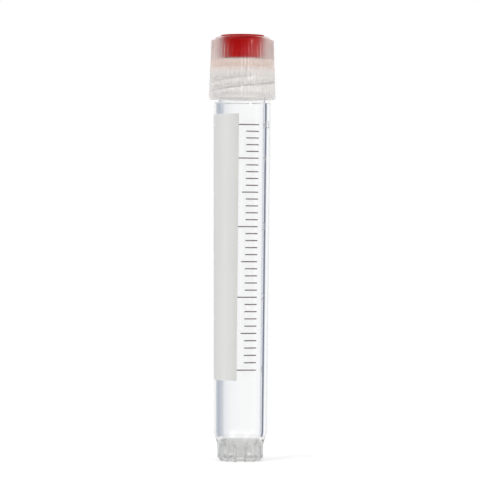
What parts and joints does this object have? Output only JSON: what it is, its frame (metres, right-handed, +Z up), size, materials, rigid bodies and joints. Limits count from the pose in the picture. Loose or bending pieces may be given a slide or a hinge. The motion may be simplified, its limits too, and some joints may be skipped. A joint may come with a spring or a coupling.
{
  "type": "cryovial",
  "caption": "Self-standing screw-top vial for frozen samples: a clear tube on a star foot with a printed scale and writing panel, a ribbed cap over a washer, and a red colour plug.",
  "frame": {"origin": "The middle of the foot's underside, on the tube's axis", "axes": "+Z up along the tube, -Y towards the side with the scale and the edge of the writing panel, +X to the right of someone looking at that side"},
  "size_m": [0.0144, 0.0144, 0.092],
  "materials": {
    "clear_plastic": "clear moulded polypropylene, polished",
    "milky_plastic": "milky translucent moulded polypropylene",
    "washer_rubber": "dull translucent silicone rubber",
    "red_plastic": "opaque red moulded polypropylene"
  },
  "bodies": {
    "vial": {"tube": "clear_plastic"},
    "seal": {"sealing_ring": "washer_rubber"},
    "cap": {"screw_cap": "milky_plastic", "cap_insert": "red_plastic"}
  },
  "joints": [
    {"name": "cap_lift", "type": "slide", "parent": "vial", "child": "seal", "axis": [0, 0, 1], "range_m": [0, 0.016]},
    {"name": "cap_turn", "type": "hinge", "parent": "seal", "child": "cap", "pos_m": [0, 0, 0.0857], "axis": [0, 0, 1], "range_deg": [0, 1440]}
  ],
  "couplings": [
    {"joint": "cap_turn", "follows": "cap_lift", "rad_per_m": 1570.8}
  ]
}
